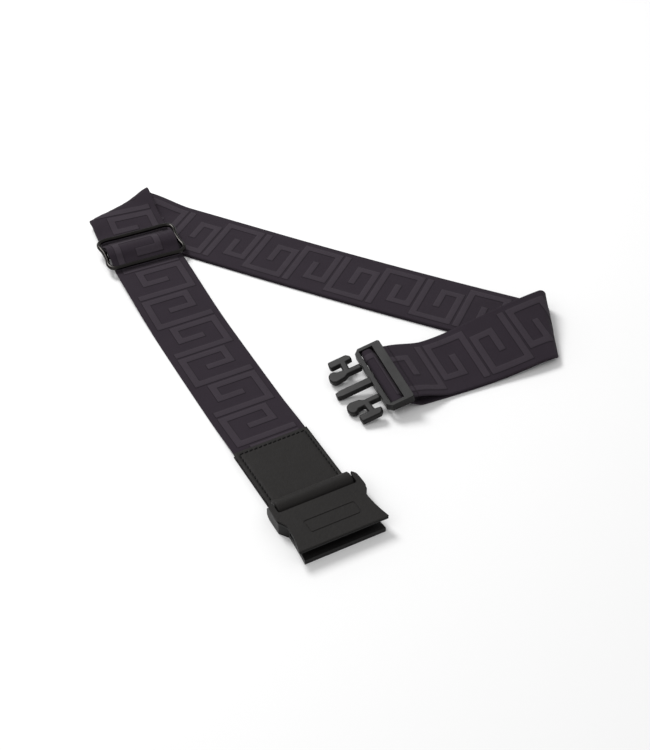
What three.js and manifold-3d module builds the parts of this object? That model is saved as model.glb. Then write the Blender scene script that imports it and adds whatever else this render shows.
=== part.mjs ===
// A luggage strap laid out in a loose Z on a flat surface, +Z up, in millimetres.
// One band of 50 mm webbing runs from a leather tab on the socket half of the buckle, through a wire
// slider, under itself at the corner, along the long run, over itself at the turn, round the centre bar
// of the prong half, and back inside itself to a loop sewn round the slider's centre bar.
// Each stretch of that band is a closed solid of its own, so that every stretch stays a simple shape.

import * as THREE from "three";
import { mergeVertices } from "three/addons/utils/BufferGeometryUtils.js";
import Module from "manifold-3d";

// ---------- driving dimensions ----------

const DEG = Math.PI / 180;
const GAP = 0.3; // clearance between neighbouring pieces
const WEB_WIDTH = 50;
const WEB_THICKNESS = 1.3;
const LAYER_OFFSET = (WEB_THICKNESS + GAP) / 2; // of each layer of a doubled stretch from its middle

// The band's plan, as arcs walked from the socket's bar. Turns are anticlockwise.
const TAB_STRAIGHT = 16;
const FIRST_ARC = { length: 180, turn: -1.4 };
const SECOND_ARC = { length: 124.5, turn: -4.5 };
const CORNER_CREASE = 15.3; // direction of the fold line, degrees from +X
const LONG_ARCS = [{ length: 107.9, turn: -0.31 }, { length: 213.5, turn: 3.76 }];
const TURN_CREASE = 65;
const RETURN_ARCS = [{ length: 54, turn: -4.6 }, { length: 65, turn: -1.7 }];
const BAND_START = 13.5; // along the band from the socket's bar, inside the leather tab
const SLIDER_AT = 271.2; // to the slider's centre bar
const SLIDER_BEHIND = 30; // from the slider's centre bar back to the end of the first run
const SLIDER_REACH = 19; // and on to the end of the stretch inside it
const FOLD_LEAVE = 5; // plain webbing kept with each fold
const FOLD_BLEND = 70; // over which the rungs of the long run turn from square to a fold line
const RETURN_BLEND = 60; // and those of the return run

// Heights of the band's middle above the surface
const FLOOR_HEIGHT = WEB_THICKNESS / 2;
const TAB_HEIGHT = 2;
const OVER_LONG_RUN = 3.85; // one layer lying on the doubled long run
const DOUBLE_HEIGHT = 2 * LAYER_OFFSET - GAP / 2; // middle of two layers on the surface
const CORNER_RADIUS = 3.2; // of the fold's middle
const TURN_RADIUS = 5;
const TAB_RISE = { from: 60, to: 92 }; // where the band comes down from the tab to the surface
const SLIDER_RISE = 170; // where it starts to rise onto the long run
const RETURN_HEIGHTS = [[80, 3.6]];
const RETURN_ROLLS = [[0, 0], [30, 9], [84, 4]]; // degrees, near edge down

// Side profiles of the band about the slider's centre bar, as distance and height
const PASS_BEFORE = [[-22, OVER_LONG_RUN], [-15, 3.9], [-8.6, 7], [-4, 10.8]];
const PASS_AFTER = [[4, 11], [8.6, 8.3], [13, 5.8], [SLIDER_REACH, 5.45]];
const LOOP_BELOW = [[SLIDER_REACH, OVER_LONG_RUN], [13, 3.95], [7, 4.4], [3, 5.15]];
const LOOP_ABOVE = [[2.7, 9.6], [5, 8.1], [7, 6.8], [9, 6]];

// Socket half of the buckle
const BAR_Y = 38.8; // strap bar's axis from the mouth
const BAR_Z = 6.2;
const BAR_RADIUS = 2;
const SOCKET = { front: 0, mouth: 29.4, neck: 26.4, shoulder: 29.8, rear: 32.2 }; // half widths, and ends
const SOCKET_WAIST = 12; // from the mouth to where the sides are drawn in most
const SOCKET_NECK_AT = 21;
const SOCKET_SHOULDER_AT = 26.5;
const BASE = { front: -1.5, mouth: 26.8, neck: 25.4, shoulder: 29.4, rear: 32.2 };
const BASE_FLOOR = 3.4;
const BASE_TOP = 8.1;
const TOP_PLATE = { low: 8.4, high: 9.7 };
const SKIN = { low: 10, high: 11.2 };
const CAVITY = { half: 24.8, depth: 27 };
const SIDE_OPENING = 20; // from the mouth, where the sides have no walls
const OVERCUT = 1; // of cutting tools past the faces they cut
const GUIDE_RIB = { inner: 3.3, outer: 5.1, from: 4, to: 28 };
const LATCH_POST = { inner: 19.4, outer: 22.6, from: 11, to: 19 };
const LUG = { inner: 26.3, outer: 29.8, from: 30, to: 41.6, side: 0.4, heel: 2.6, corner: 2.2 };
const LUG_STEPS = { toe: 0.6, low: 2.8, high: 7.6 };
// The skin's corners over each lug, back from the lug's end or in from its sides
const LUG_SKIN = { straight: 6, slope: 1.5, outer: 1.2, inner: 1, nick: 0.8 };

// Leather tab
const TAB = { half: 25.4, end: 95, top: 4, ply: 1.05, slotEnd: 50 };
const ROLL = { outer: 6.2, inner: 2.6, rest: 2 }; // rest: how far behind the bar the roll meets the surface
const SEAM = { x: 22.7, from: 49, to: 91.5, end: 92.6, half: 0.35, high: 0.45, lift: 0.02 };

// Wire slider
const WIRE_RADIUS = 1.55;
const SLIDER = { bar: 15.7, straight: 23.4, end: 27.9, waist: 27, centreZ: 7.85, tilt: 2.9 };
const SLIDER_CORNER = { inset: 1.2, rise: 1.6, full: 5 };
const SLIDER_WAIST_AT = 4;
const SLIDER_BAR_SLACK = 0.1;

// Prong half of the buckle, in its own frame: X forwards to the prong tips, Y across, Z up
const FRAME = { half: 27.9, rear: -9.25, front: 9.25, thick: 5.5, rail: 2.6, chamfer: 3.2, corner: 1 };
const REAR_BAR = { front: -3.25, low: -1 };
const FRONT_BAR_REAR = 6.25;
const CENTRE_BAR = { rear: -0.05, front: 3.05, low: -2, high: 0.4 };
const PIN = { root: 9, taper: 30, tip: 33.5, half: 2.5, tipHalf: 1.6, thick: 4 };
const ARM_THICK = 4.2;
// An arm's outline, going round a stem, an inner latching finger, a crossbar and an outer release pad
const ARM_OUTLINE = [
  [FRAME.front + GAP, 12.6],
  [19.6, 12.6],
  [22.5, 10.8],
  [28.6, 10],
  [31.4, 11.4],
  [32.4, 14.6],
  [31.6, 18],
  [29.4, 19.8],
  [27, 19.4],
  [25.4, 17.8],
  [21.4, 17.6],
  [21, 22.8],
  [27.4, 22.6],
  [28.2, 24.4],
  [27.6, 28.8],
  [14.6, 28.8],
  [12.4, 26.4],
  [12.2, 23.4],
  [16.6, 22.8],
  [17, 17],
  [FRAME.front + GAP, 17],
];
// Side profile of the webbing under the rear bar, over the centre bar and back underneath
const BUCKLE_LOOP_OVER = [
  [-8.6, -1.98],
  [-4.2, -1.96],
  [-2.2, -1.3],
  [-1.5, 0.4],
  [-0.2, 1.3],
  [1.5, 1.45],
  [3.6, 1.2],
  [4.6, 0],
  [4.7, -1.6],
  [3.6, -3.1],
  [1.2, -3.6],
  [-8, -3.7],
];
const BUCKLE_LOOP_ENDS = { over: -3.4, under: -5 };
const BUCKLE = { height: 10.6, noseDown: 13.5, roll: 2 };
const LOOP_END = -12.6; // where the loop on the prong half ends
const RUN_END = -14.2; // where the doubled return run ends, with room for the loop to swing

// ---------- materials ----------

function material(name, color, roughness, metalness) {
  const made = new THREE.MeshStandardMaterial({ color, roughness, metalness });
  made.name = name;
  return made;
}

const webbing = material("webbing", 0x37333a, 0.9, 0);
const leather = material("leather", 0x1d1c1b, 0.55, 0);
const plastic = material("plastic", 0x1b1b1c, 0.45, 0);
const gunmetal = material("gunmetal", 0x2c2926, 0.3, 0.9);
const thread = material("thread", 0x121212, 0.8, 0);

// ---------- solids ----------

const wasm = await Module();
wasm.setup();

function toSolid(geometry) {
  const bare = geometry.clone();
  bare.deleteAttribute("normal");
  bare.deleteAttribute("uv");
  const merged = mergeVertices(bare, 1e-4);
  const vertProperties = merged.attributes.position.array;
  const triVerts = new Uint32Array(merged.index.array);
  return new wasm.Manifold(new wasm.Mesh({ numProp: 3, vertProperties, triVerts }));
}

function toGeometry(solid) {
  const mesh = solid.getMesh();
  const geometry = new THREE.BufferGeometry();
  geometry.setAttribute("position", new THREE.BufferAttribute(mesh.vertProperties, 3));
  geometry.setIndex(new THREE.BufferAttribute(mesh.triVerts, 1));
  geometry.computeVertexNormals();
  return geometry;
}

function joined(geometries) {
  return geometries.map(toSolid).reduce((sum, solid) => sum.add(solid));
}

function cutBy(solid, geometries) {
  return geometries.map(toSolid).reduce((rest, tool) => rest.subtract(tool), solid);
}

function block(x0, x1, y0, y1, z0, z1) {
  const box = new THREE.BoxGeometry(x1 - x0, y1 - y0, z1 - z0);
  return box.translate((x0 + x1) / 2, (y0 + y1) / 2, (z0 + z1) / 2);
}

function outline(points) {
  return new THREE.Shape(points.map(([x, y]) => new THREE.Vector2(x, y)));
}

function plate(shape, low, high) {
  const settings = { depth: high - low, bevelEnabled: false, curveSegments: 8 };
  return new THREE.ExtrudeGeometry(shape, settings).translate(0, 0, low);
}

// A shape drawn in the (Y, Z) plane, extruded along X.
function acrossX(shape, x0, x1) {
  const settings = { depth: x1 - x0, bevelEnabled: false, curveSegments: 12 };
  const turned = new THREE.Matrix4().set(0, 0, 1, x0, 1, 0, 0, 0, 0, 1, 0, 0, 0, 0, 0, 1);
  return new THREE.ExtrudeGeometry(shape, settings).applyMatrix4(turned);
}

function part(name, geometry, look) {
  const mesh = new THREE.Mesh(geometry, look);
  mesh.name = name;
  return mesh;
}

// ---------- the band's plan ----------

function direction(angle) {
  return new THREE.Vector3(Math.cos(angle * DEG), Math.sin(angle * DEG), 0);
}

// A plan path of arcs, each { length, turn }, from a start point and heading in degrees.
function planPath(start, heading, arcs) {
  const spans = [];
  let at = start.clone();
  let facing = heading;
  for (const { length, turn } of arcs) {
    spans.push({ at, facing, length, turn });
    at = arcPoint(spans.at(-1), length);
    facing += turn;
  }
  const length = arcs.reduce((sum, arc) => sum + arc.length, 0);
  return { spans, length, end: at, endHeading: facing };
}

function arcPoint({ at, facing, length, turn }, s) {
  const swept = (turn * s) / length;
  const chord = swept === 0 ? s : (s * Math.sin((swept / 2) * DEG)) / ((swept / 2) * DEG);
  return at.clone().addScaledVector(direction(facing + swept / 2), chord);
}

// Position and heading at a distance along a path; beyond its ends the end arcs go on.
function along(path, s) {
  let rest = s;
  let index = 0;
  while (index < path.spans.length - 1 && rest > path.spans[index].length) {
    rest -= path.spans[index].length;
    index += 1;
  }
  const span = path.spans[index];
  return { point: arcPoint(span, rest), heading: span.facing + (span.turn * rest) / span.length };
}

// ---------- webbing ----------

// One line across the band. Skew slides its two ends along the band, and roll lowers its left end.
// Side is 1 where the band lies face up and -1 where a fold has turned it face down.
function rung(path, s, { height, skew = 0, roll = 0, side = 1 }) {
  const ends = [1, -1].map((sign) => {
    const w = (sign * WEB_WIDTH) / 2;
    const { point, heading } = along(path, s + skew * w);
    point.addScaledVector(direction(heading + 90), w * side);
    point.z = height - w * side * Math.tan(roll * DEG);
    return point;
  });
  return { left: ends[0], right: ends[1] };
}

// The rungs round a fold. The fold line has the direction crease; rise is 1 where the band turns
// up and over itself and -1 where it turns under.
function foldRungs(start, crease, heading, radius, rise, steps) {
  const alongCrease = direction(crease);
  let outwards = direction(crease + 90);
  if (outwards.dot(direction(heading)) < 0) outwards = outwards.negate();
  const shiftRate = direction(heading).dot(alongCrease) / direction(heading).dot(outwards);
  const rungs = [];
  for (let i = 0; i <= steps; i++) {
    const angle = (Math.PI * i) / steps;
    const move = outwards.clone().multiplyScalar(radius * Math.sin(angle));
    move.addScaledVector(alongCrease, shiftRate * radius * angle);
    move.z = rise * radius * (1 - Math.cos(angle));
    rungs.push({ left: start.left.clone().add(move), right: start.right.clone().add(move) });
  }
  return rungs;
}

// Adds to each rung the band's normal there, towards the side that faces up on the first run.
function withNormals(rungs) {
  const middle = (r) => r.left.clone().add(r.right).multiplyScalar(0.5);
  return rungs.map((r, i) => {
    const before = middle(rungs[Math.max(i - 1, 0)]);
    const after = middle(rungs[Math.min(i + 1, rungs.length - 1)]);
    const across = r.left.clone().sub(r.right);
    const normal = after.sub(before).cross(across).normalize();
    return { ...r, normal };
  });
}

// The closed solid of one layer of webbing over a list of rungs.
function bandSolid(rungs, offset = 0) {
  const positions = [];
  for (const { left, right, normal } of rungs) {
    const high = normal.clone().multiplyScalar(offset + WEB_THICKNESS / 2);
    const low = normal.clone().multiplyScalar(offset - WEB_THICKNESS / 2);
    for (const [edge, lift] of [[left, high], [right, high], [right, low], [left, low]])
      positions.push(...edge.clone().add(lift).toArray());
  }
  const index = [];
  const face = (a, b, c, d) => index.push(a, b, c, a, c, d);
  for (let i = 0; i < rungs.length - 1; i++) {
    const [a, b, c, d] = [4 * i, 4 * i + 1, 4 * i + 2, 4 * i + 3];
    face(a, b, b + 4, a + 4);
    face(b, c, c + 4, b + 4);
    face(d, d + 4, c + 4, c); // split along the same diagonal as the face above it
    face(d, a, a + 4, d + 4);
  }
  const last = 4 * (rungs.length - 1);
  face(3, 2, 1, 0);
  face(last, last + 1, last + 2, last + 3);
  const geometry = new THREE.BufferGeometry();
  geometry.setAttribute("position", new THREE.Float32BufferAttribute(positions, 3));
  geometry.setIndex(index);
  geometry.computeVertexNormals();
  return geometry;
}

function smooth(t) {
  return t * t * (3 - 2 * t);
}

// Values between listed [position, value] pairs, eased from one to the next.
function eased(stops, s) {
  let i = 0;
  while (i < stops.length - 2 && s > stops[i + 1][0]) i += 1;
  const [[s0, v0], [s1, v1]] = [stops[i], stops[i + 1]];
  return v0 + (v1 - v0) * smooth(Math.min(Math.max((s - s0) / (s1 - s0), 0), 1));
}

function range(from, to, steps) {
  return Array.from({ length: steps + 1 }, (_, i) => from + ((to - from) * i) / steps);
}

// A smooth run through a profile's [distance, height] points.
function profileCurve(points, steps) {
  const curve = new THREE.CatmullRomCurve3(points.map(([s, z]) => new THREE.Vector3(s, 0, z)));
  return curve.getPoints(steps);
}

const firstPath = planPath(new THREE.Vector3(0, BAR_Y, 0), 90, [
  { length: TAB_STRAIGHT, turn: 0 },
  FIRST_ARC,
  SECOND_ARC,
]);

function creaseSkew(crease, heading, side) {
  return side / Math.tan((crease - heading) * DEG);
}

function pathAfterFold(path, crease, radius, arcs) {
  const heading = path.endHeading;
  const outward = Math.sin((heading - crease) * DEG);
  const shift = (Math.PI * radius * Math.cos((heading - crease) * DEG)) / Math.abs(outward);
  const start = path.end.clone().addScaledVector(direction(crease), shift);
  return planPath(start, 2 * crease - heading, arcs);
}

const longPath = pathAfterFold(firstPath, CORNER_CREASE, CORNER_RADIUS, LONG_ARCS);
const returnPath = pathAfterFold(longPath, TURN_CREASE, TURN_RADIUS, RETURN_ARCS);

const sliderNear = SLIDER_AT - SLIDER_BEHIND;
const sliderFar = SLIDER_AT + SLIDER_REACH;
const cornerHeight = DOUBLE_HEIGHT + 2 * CORNER_RADIUS;
const turnHeight = DOUBLE_HEIGHT + 2 * TURN_RADIUS;
const loopMiddle = (BUCKLE_LOOP_ENDS.over + BUCKLE_LOOP_ENDS.under) / 2;
const loopHeight =
  BUCKLE.height -
  LOOP_END * Math.sin(BUCKLE.noseDown * DEG) +
  loopMiddle * Math.cos(BUCKLE.noseDown * DEG);

// From the leather tab to just before the slider, one layer.
function firstRunRungs() {
  const heights = [
    [TAB_RISE.from, TAB_HEIGHT],
    [TAB_RISE.to, FLOOR_HEIGHT],
    [SLIDER_RISE, FLOOR_HEIGHT],
    [sliderNear, OVER_LONG_RUN],
  ];
  const stops = range(BAND_START, sliderNear - GAP, 26);
  return stops.map((s) => rung(firstPath, s, { height: eased(heights, s) }));
}

// Under the slider's near bar, over its centre bar and under its far bar.
function sliderPassRungs() {
  const crest = SLIDER.centreZ + WIRE_RADIUS + 2 * GAP + 1.5 * WEB_THICKNESS;
  const profile = [[-SLIDER_BEHIND, OVER_LONG_RUN], ...PASS_BEFORE, [0, crest], ...PASS_AFTER];
  return profileCurve(profile, 34).map((p) => rung(firstPath, SLIDER_AT + p.x, { height: p.z }));
}

// The sewn loop round the slider's centre bar: in below, round the bar, and a short leg back on top.
function sliderLoopRungs() {
  const radius = WIRE_RADIUS + GAP + WEB_THICKNESS / 2;
  const round = range(-90, -270, 10).map((angle) => [
    radius * Math.cos(angle * DEG),
    SLIDER.centreZ + radius * Math.sin(angle * DEG),
  ]);
  const points = [...profileCurve([...LOOP_BELOW, round[0]], 8), ...round.slice(1, -1).map(asPoint)];
  points.push(...profileCurve([round.at(-1), ...LOOP_ABOVE], 8));
  return points.map((p) => rung(firstPath, SLIDER_AT + p.x, { height: p.z }));
}

function asPoint([s, z]) {
  return new THREE.Vector3(s, 0, z);
}

// The doubled band from the slider to the prong half, as one list of rungs per stretch.
function doubledRungs() {
  const cornerSkew = creaseSkew(CORNER_CREASE, firstPath.endHeading, 1);
  const intoCorner = range(sliderFar + GAP, firstPath.length, 10).map((s, i) => {
    const t = smooth(i / 10);
    const height = OVER_LONG_RUN + LAYER_OFFSET + (cornerHeight - OVER_LONG_RUN - LAYER_OFFSET) * t;
    return rung(firstPath, s, { height, skew: cornerSkew * t });
  });
  const corner = foldRungs(intoCorner.at(-1), CORNER_CREASE, firstPath.endHeading, CORNER_RADIUS, -1, 10);
  const outSkew = creaseSkew(CORNER_CREASE, longPath.spans[0].facing, -1);
  const turnSkew = creaseSkew(TURN_CREASE, longPath.endHeading, -1);
  const onLong = (s) => {
    const fromCorner = Math.max(0, 1 - s / FOLD_BLEND);
    const toTurn = Math.max(0, 1 - (longPath.length - s) / FOLD_BLEND);
    const skew = outSkew * smooth(fromCorner) + turnSkew * smooth(toTurn);
    return rung(longPath, s, { height: DOUBLE_HEIGHT, skew, side: -1 });
  };
  const turn = foldRungs(onLong(longPath.length), TURN_CREASE, longPath.endHeading, TURN_RADIUS, 1, 10);
  const backSkew = creaseSkew(TURN_CREASE, returnPath.spans[0].facing, 1);
  const runEnd = returnPath.length + RUN_END;
  const heights = [[0, turnHeight], ...RETURN_HEIGHTS, [runEnd, loopHeight]];
  const rolls = [...RETURN_ROLLS, [runEnd, BUCKLE.roll]];
  const onReturn = (s) =>
    rung(returnPath, s, {
      height: eased(heights, s),
      roll: eased(rolls, s),
      skew: backSkew * smooth(Math.max(0, 1 - s / RETURN_BLEND)),
    });
  return {
    corner: [...intoCorner, ...corner.slice(1), onLong(FOLD_LEAVE / 2), onLong(FOLD_LEAVE)],
    long: range(FOLD_LEAVE + GAP, longPath.length - FOLD_LEAVE - GAP, 18).map(onLong),
    turn: [onLong(longPath.length - FOLD_LEAVE), ...turn, onReturn(FOLD_LEAVE / 2), onReturn(FOLD_LEAVE)],
    back: range(FOLD_LEAVE + GAP, runEnd, 18).map(onReturn),
  };
}

function webbingParts() {
  const { corner, long, turn, back } = doubledRungs();
  const order = [corner, long, turn, back];
  const all = withNormals(order.flat());
  let start = 0;
  const pieces = order.map((rungs) => all.slice(start, (start += rungs.length)));
  const names = ["corner", "long_run", "turn", "return_run"];
  const doubled = pieces.flatMap((rungs, i) => [
    part("webbing_" + names[i] + "_outer", bandSolid(rungs, LAYER_OFFSET), webbing),
    part("webbing_" + names[i] + "_inner", bandSolid(rungs, -LAYER_OFFSET), webbing),
  ]);
  return [
    part("webbing_first_run", bandSolid(withNormals(firstRunRungs())), webbing),
    part("webbing_slider_pass", bandSolid(withNormals(sliderPassRungs())), webbing),
    part("webbing_slider_loop", bandSolid(withNormals(sliderLoopRungs())), webbing),
    ...doubled,
  ];
}

// ---------- leather tab ----------

function leatherTab() {
  const { top, ply, end, slotEnd } = TAB;
  const dip = top - BAR_Z;
  const notch = Math.sqrt(ROLL.outer ** 2 - dip ** 2);
  const shape = new THREE.Shape();
  shape.moveTo(end, 0);
  shape.lineTo(end, ply);
  shape.lineTo(slotEnd, ply);
  shape.lineTo(slotEnd, top - ply);
  shape.lineTo(end, top - ply);
  shape.lineTo(end, top);
  shape.lineTo(BAR_Y + notch, top);
  shape.absarc(BAR_Y, BAR_Z, ROLL.outer, Math.atan2(dip, notch), -Math.PI / 2, false);
  shape.lineTo(BAR_Y + ROLL.rest, 0);
  const bore = new THREE.Path();
  bore.absarc(BAR_Y, BAR_Z, ROLL.inner, 0, 2 * Math.PI, true);
  shape.holes.push(bore);
  return part("leather_tab", acrossX(shape, -TAB.half, TAB.half), leather);
}

// The seams lie on the tab's top face, one on each side and one across its end.
function seams() {
  const { x, from, to, end, half, high, lift } = SEAM;
  const low = TAB.top + lift;
  const side = (at) => block(at - half, at + half, from, to, low, low + high);
  return [
    part("tab_thread_left", side(-x), thread),
    part("tab_thread_right", side(x), thread),
    part("tab_thread_end", block(-x, x, end - half, end + half, low, low + high), thread),
  ];
}

// ---------- socket half ----------

// The plate's outline from the mouth at Y 0, with concave sides and square shoulders.
function socketOutline({ front, mouth, neck, shoulder, rear }) {
  const shape = new THREE.Shape();
  shape.moveTo(-mouth, front);
  shape.lineTo(mouth, front);
  shape.quadraticCurveTo(neck, SOCKET_WAIST, neck, SOCKET_NECK_AT);
  shape.lineTo(shoulder, SOCKET_SHOULDER_AT);
  shape.lineTo(shoulder, rear);
  shape.lineTo(-shoulder, rear);
  shape.lineTo(-shoulder, SOCKET_SHOULDER_AT);
  shape.lineTo(-neck, SOCKET_NECK_AT);
  shape.quadraticCurveTo(-neck, SOCKET_WAIST, -mouth, front);
  return shape;
}

// The skin goes on over the two lugs, round the ends of the leather roll.
function skinOutline() {
  const { mouth, neck, shoulder, rear } = SOCKET;
  const half = [
    [shoulder, SOCKET_SHOULDER_AT],
    [shoulder, LUG.to - LUG_SKIN.straight],
    [LUG.outer - LUG_SKIN.outer, LUG.to - LUG_SKIN.slope],
    [LUG.inner + LUG_SKIN.inner, LUG.to],
    [LUG.inner, LUG.to - LUG_SKIN.nick],
    [LUG.inner, rear],
  ];
  const shape = new THREE.Shape();
  shape.moveTo(-mouth, 0);
  shape.lineTo(mouth, 0);
  shape.quadraticCurveTo(neck, SOCKET_WAIST, neck, SOCKET_NECK_AT);
  for (const [x, y] of half) shape.lineTo(x, y);
  for (const [x, y] of half.reverse()) shape.lineTo(-x, y);
  shape.lineTo(-neck, SOCKET_NECK_AT);
  shape.quadraticCurveTo(-neck, SOCKET_WAIST, -mouth, 0);
  return shape;
}

function socketBase() {
  const lug = outline([
    [LUG.from, 0],
    [LUG.to - LUG.corner, LUG_STEPS.toe],
    [LUG.to, LUG_STEPS.low],
    [LUG.to, LUG_STEPS.high],
    [LUG.to - LUG.corner, TOP_PLATE.high],
    [LUG.from + LUG.heel, TOP_PLATE.high],
    [LUG.from + LUG.heel, BASE_TOP],
    [LUG.from, BASE_TOP],
  ]);
  const bar = new THREE.CylinderGeometry(BAR_RADIUS, BAR_RADIUS, 2 * (LUG.inner + OVERCUT), 20);
  bar.rotateZ(Math.PI / 2).translate(0, BAR_Y, BAR_Z);
  const aboveBase = BASE_TOP + OVERCUT;
  const past = BASE.shoulder + OVERCUT;
  const shell = cutBy(toSolid(plate(socketOutline(BASE), 0, BASE_TOP)), [
    block(-CAVITY.half, CAVITY.half, BASE.front - OVERCUT, CAVITY.depth, BASE_FLOOR, aboveBase),
    block(-past, past, BASE.front - OVERCUT, SIDE_OPENING, BASE_FLOOR, aboveBase),
  ]);
  const outer = LUG.outer - LUG.side;
  const inside = [-1, 1].flatMap((side) => [
    mirroredBlock(side, GUIDE_RIB, BASE_FLOOR - OVERCUT, BASE_TOP),
    mirroredBlock(side, LATCH_POST, BASE_FLOOR - OVERCUT, BASE_TOP),
    acrossX(lug, side > 0 ? LUG.inner : -outer, side > 0 ? outer : -LUG.inner),
  ]);
  return part("socket_base", toGeometry(shell.add(joined([...inside, bar]))), plastic);
}

function mirroredBlock(side, { inner, outer, from, to }, low, high) {
  const [x0, x1] = side > 0 ? [inner, outer] : [-outer, -inner];
  return block(x0, x1, from, to, low, high);
}

function socketTop() {
  return part("socket_top", plate(socketOutline(SOCKET), TOP_PLATE.low, TOP_PLATE.high), plastic);
}

function socketSkin() {
  return part("socket_leather", plate(skinOutline(), SKIN.low, SKIN.high), leather);
}

// ---------- slider ----------

function sliderCurve() {
  const { bar, straight, end, waist } = SLIDER;
  const quarter = [
    [straight / 2, -bar],
    [straight, -bar],
    [end - SLIDER_CORNER.inset, -bar + SLIDER_CORNER.rise],
    [end, -bar + SLIDER_CORNER.full],
    [waist, -SLIDER_WAIST_AT],
  ];
  const right = [...quarter, ...quarter.toReversed().map(([x, y]) => [x, -y])];
  const left = right.toReversed().map(([x, y]) => [-x, y]);
  const points = [...right, ...left].map(([x, y]) => new THREE.Vector3(x, y, 0));
  return new THREE.CatmullRomCurve3(points, true, "centripetal");
}

function slider() {
  const { point, heading } = along(firstPath, SLIDER_AT);
  const group = new THREE.Group();
  group.position.set(point.x, point.y, SLIDER.centreZ);
  group.rotation.set(SLIDER.tilt * DEG, 0, (heading - 90) * DEG, "ZYX");
  const loop = new THREE.TubeGeometry(sliderCurve(), 64, WIRE_RADIUS, 8, true);
  const length = 2 * (SLIDER.waist - WIRE_RADIUS - GAP - SLIDER_BAR_SLACK);
  const bar = new THREE.CylinderGeometry(WIRE_RADIUS, WIRE_RADIUS, length, 12).rotateZ(Math.PI / 2);
  group.add(part("slider_frame", loop, gunmetal), part("slider_bar", bar, gunmetal));
  return group;
}

// ---------- prong half ----------

function prongFrame() {
  const { half, rear, front, thick, rail, chamfer, corner } = FRAME;
  const ring = outline([
    [rear, -half + corner],
    [rear + corner, -half],
    [front - chamfer, -half],
    [front, -half + chamfer],
    [front, half - chamfer],
    [front - chamfer, half],
    [rear + corner, half],
    [rear, half - corner],
  ]);
  const inner = half - rail;
  const window = block(REAR_BAR.front, FRONT_BAR_REAR, -inner, inner, -thick, thick);
  const underRear = block(rear - OVERCUT, REAR_BAR.front + OVERCUT, -inner, inner, -thick, REAR_BAR.low);
  const body = cutBy(toSolid(plate(ring, -thick / 2, thick / 2)), [window, underRear]);
  const { low, high } = CENTRE_BAR;
  const centre = block(CENTRE_BAR.rear, CENTRE_BAR.front, -inner - OVERCUT, inner + OVERCUT, low, high);
  const pin = outline([
    [PIN.root, -PIN.half],
    [PIN.taper, -PIN.half],
    [PIN.tip, -PIN.tipHalf],
    [PIN.tip, PIN.tipHalf],
    [PIN.taper, PIN.half],
    [PIN.root, PIN.half],
  ]);
  const added = joined([centre, plate(pin, -PIN.thick / 2, PIN.thick / 2)]);
  return part("prong_frame", toGeometry(body.add(added)), plastic);
}

function prongArm(name, side) {
  const shape = outline(ARM_OUTLINE.map(([x, y]) => [x, side * y]));
  return part(name, plate(shape, -ARM_THICK / 2, ARM_THICK / 2), plastic);
}

// The webbing under the rear bar, over the centre bar, down the front slot and back underneath.
function buckleLoop() {
  const { over, under } = BUCKLE_LOOP_ENDS;
  const profile = [[LOOP_END, over], ...BUCKLE_LOOP_OVER, [LOOP_END, under]];
  const half = WEB_WIDTH / 2;
  const rungs = profileCurve(profile, 42).map((p) => ({
    left: new THREE.Vector3(p.x, half, p.z),
    right: new THREE.Vector3(p.x, -half, p.z),
  }));
  return part("webbing_buckle_loop", bandSolid(withNormals(rungs)), webbing);
}

function prongHalf() {
  const { point, heading } = along(returnPath, returnPath.length);
  const group = new THREE.Group();
  group.position.set(point.x, point.y, BUCKLE.height);
  group.rotation.set(-BUCKLE.roll * DEG, BUCKLE.noseDown * DEG, heading * DEG, "ZYX");
  group.add(
    prongFrame(),
    prongArm("prong_arm_left", 1),
    prongArm("prong_arm_right", -1),
    buckleLoop(),
  );
  return group;
}

// ---------- assembly ----------

const layout = new THREE.Group();
layout.add(socketBase(), socketTop(), socketSkin(), leatherTab(), ...seams());
layout.add(slider(), prongHalf(), ...webbingParts());

// The origin is the middle of the laid-out strap's footprint, on the surface it lies on.
const extent = new THREE.Box3().setFromObject(layout, true);
const middle = extent.getCenter(new THREE.Vector3());
layout.position.set(-middle.x, -middle.y, -extent.min.z);

const luggageStrap = new THREE.Group();
luggageStrap.add(layout);

export default luggageStrap;
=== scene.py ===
import math

import bpy
import numpy as np
from mathutils import Matrix, Vector


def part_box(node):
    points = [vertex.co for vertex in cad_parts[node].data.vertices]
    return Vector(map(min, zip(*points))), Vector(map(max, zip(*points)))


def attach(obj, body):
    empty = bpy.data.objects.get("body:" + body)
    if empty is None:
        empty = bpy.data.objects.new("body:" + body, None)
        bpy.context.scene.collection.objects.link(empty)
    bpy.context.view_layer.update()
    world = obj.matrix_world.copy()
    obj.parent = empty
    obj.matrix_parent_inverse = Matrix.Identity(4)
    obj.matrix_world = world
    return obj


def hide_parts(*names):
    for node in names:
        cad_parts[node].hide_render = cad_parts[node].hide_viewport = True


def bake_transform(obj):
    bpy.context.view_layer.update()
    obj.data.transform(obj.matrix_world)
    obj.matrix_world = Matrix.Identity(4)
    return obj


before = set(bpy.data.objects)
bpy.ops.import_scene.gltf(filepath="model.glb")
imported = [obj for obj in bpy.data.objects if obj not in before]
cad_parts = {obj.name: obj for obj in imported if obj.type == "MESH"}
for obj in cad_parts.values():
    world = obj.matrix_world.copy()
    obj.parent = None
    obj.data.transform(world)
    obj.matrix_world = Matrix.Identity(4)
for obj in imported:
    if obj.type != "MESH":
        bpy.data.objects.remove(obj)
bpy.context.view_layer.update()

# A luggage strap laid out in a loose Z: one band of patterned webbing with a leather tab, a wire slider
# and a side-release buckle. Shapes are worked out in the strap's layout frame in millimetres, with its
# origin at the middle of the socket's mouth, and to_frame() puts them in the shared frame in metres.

MM = 0.001
socket_low, socket_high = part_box("socket_top")
LAYOUT_ORIGIN = np.array([(socket_low.x + socket_high.x) / 2, socket_low.y, 0.0])


def to_frame(points):
    """Layout millimetres to the shared frame's metres."""
    return np.asarray(points, float) * MM + LAYOUT_ORIGIN


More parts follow.
